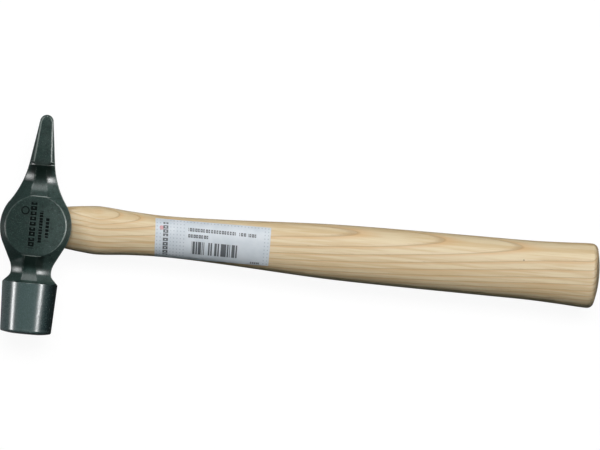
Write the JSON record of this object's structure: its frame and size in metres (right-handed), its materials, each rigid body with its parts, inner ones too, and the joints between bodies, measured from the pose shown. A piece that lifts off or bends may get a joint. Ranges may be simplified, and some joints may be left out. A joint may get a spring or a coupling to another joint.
{
  "type": "cross-peen hammer",
  "caption": "Engineer's cross-peen hammer: forged steel head with a round striking face, round cheeks and a wedge peen, on a wedged ash handle with a blank sticker.",
  "frame": {"origin": "centre of the striking face", "axes": "+X along the handle from the head to the butt, +Y up the head from the striking face to the peen, +Z square to the cheeks, so the hammer lies on its side"},
  "size_m": [0.32, 0.1167, 0.0294],
  "materials": {
    "dark_steel": "forged and ground steel under a thin dark green-grey lacquer, satin, with a brighter ground poll",
    "ash": "pale ash with open grain, thin clear matt lacquer",
    "wedge_wood": "bare beech, end grain",
    "wedge_steel": "sheared mild steel, ground flush",
    "sticker": null
  },
  "bodies": {
    "root": {"hammer_head": "dark_steel", "handle": "ash", "wood_wedge": "wedge_wood", "steel_wedge_peen_side": "wedge_steel", "steel_wedge_face_side": "wedge_steel", "label": "sticker"}
  },
  "joints": []
}
